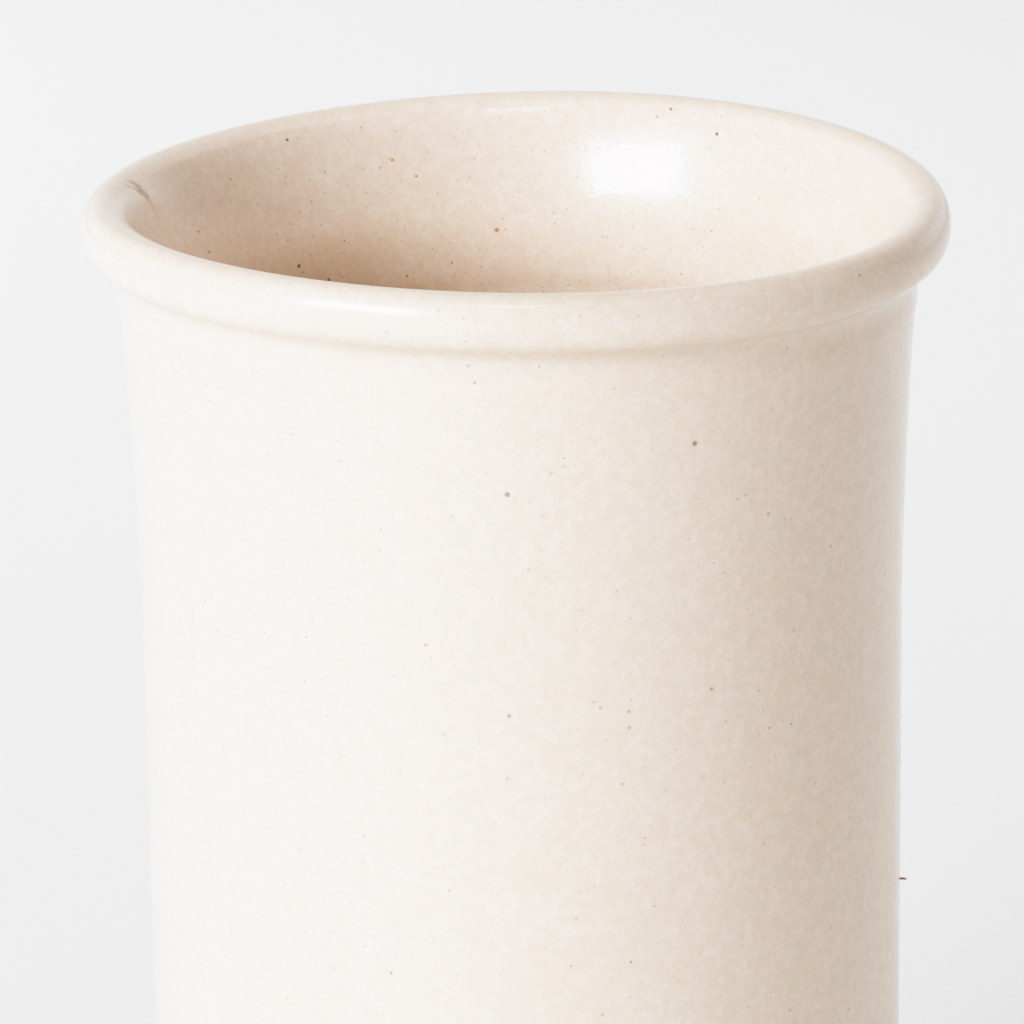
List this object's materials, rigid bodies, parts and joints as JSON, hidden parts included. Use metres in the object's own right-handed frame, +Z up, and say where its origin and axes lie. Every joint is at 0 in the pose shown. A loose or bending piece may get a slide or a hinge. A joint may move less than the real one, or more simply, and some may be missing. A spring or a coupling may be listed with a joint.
{
  "type": "stoneware pottery vase",
  "caption": "Straight-walled cylindrical stoneware vase with a rolled rim, sloping inner lip, turned foot ring and speckled cream gloss glaze.",
  "frame": {"origin": "centre of the foot's underside", "axes": "+Z up along the vase's axis; the vase is round, so X and Y are interchangeable"},
  "size_m": [0.096, 0.096, 0.17],
  "materials": {
    "clay": "matte bare fired clay",
    "glaze": "gloss, cream with fine iron specks"
  },
  "bodies": {
    "root": {"foot_ring": "clay", "base_disc": "clay", "thrown_wall": "clay", "rolled_rim": "clay", "glaze_dipped": "glaze", "glaze_poured": "glaze"}
  },
  "joints": []
}
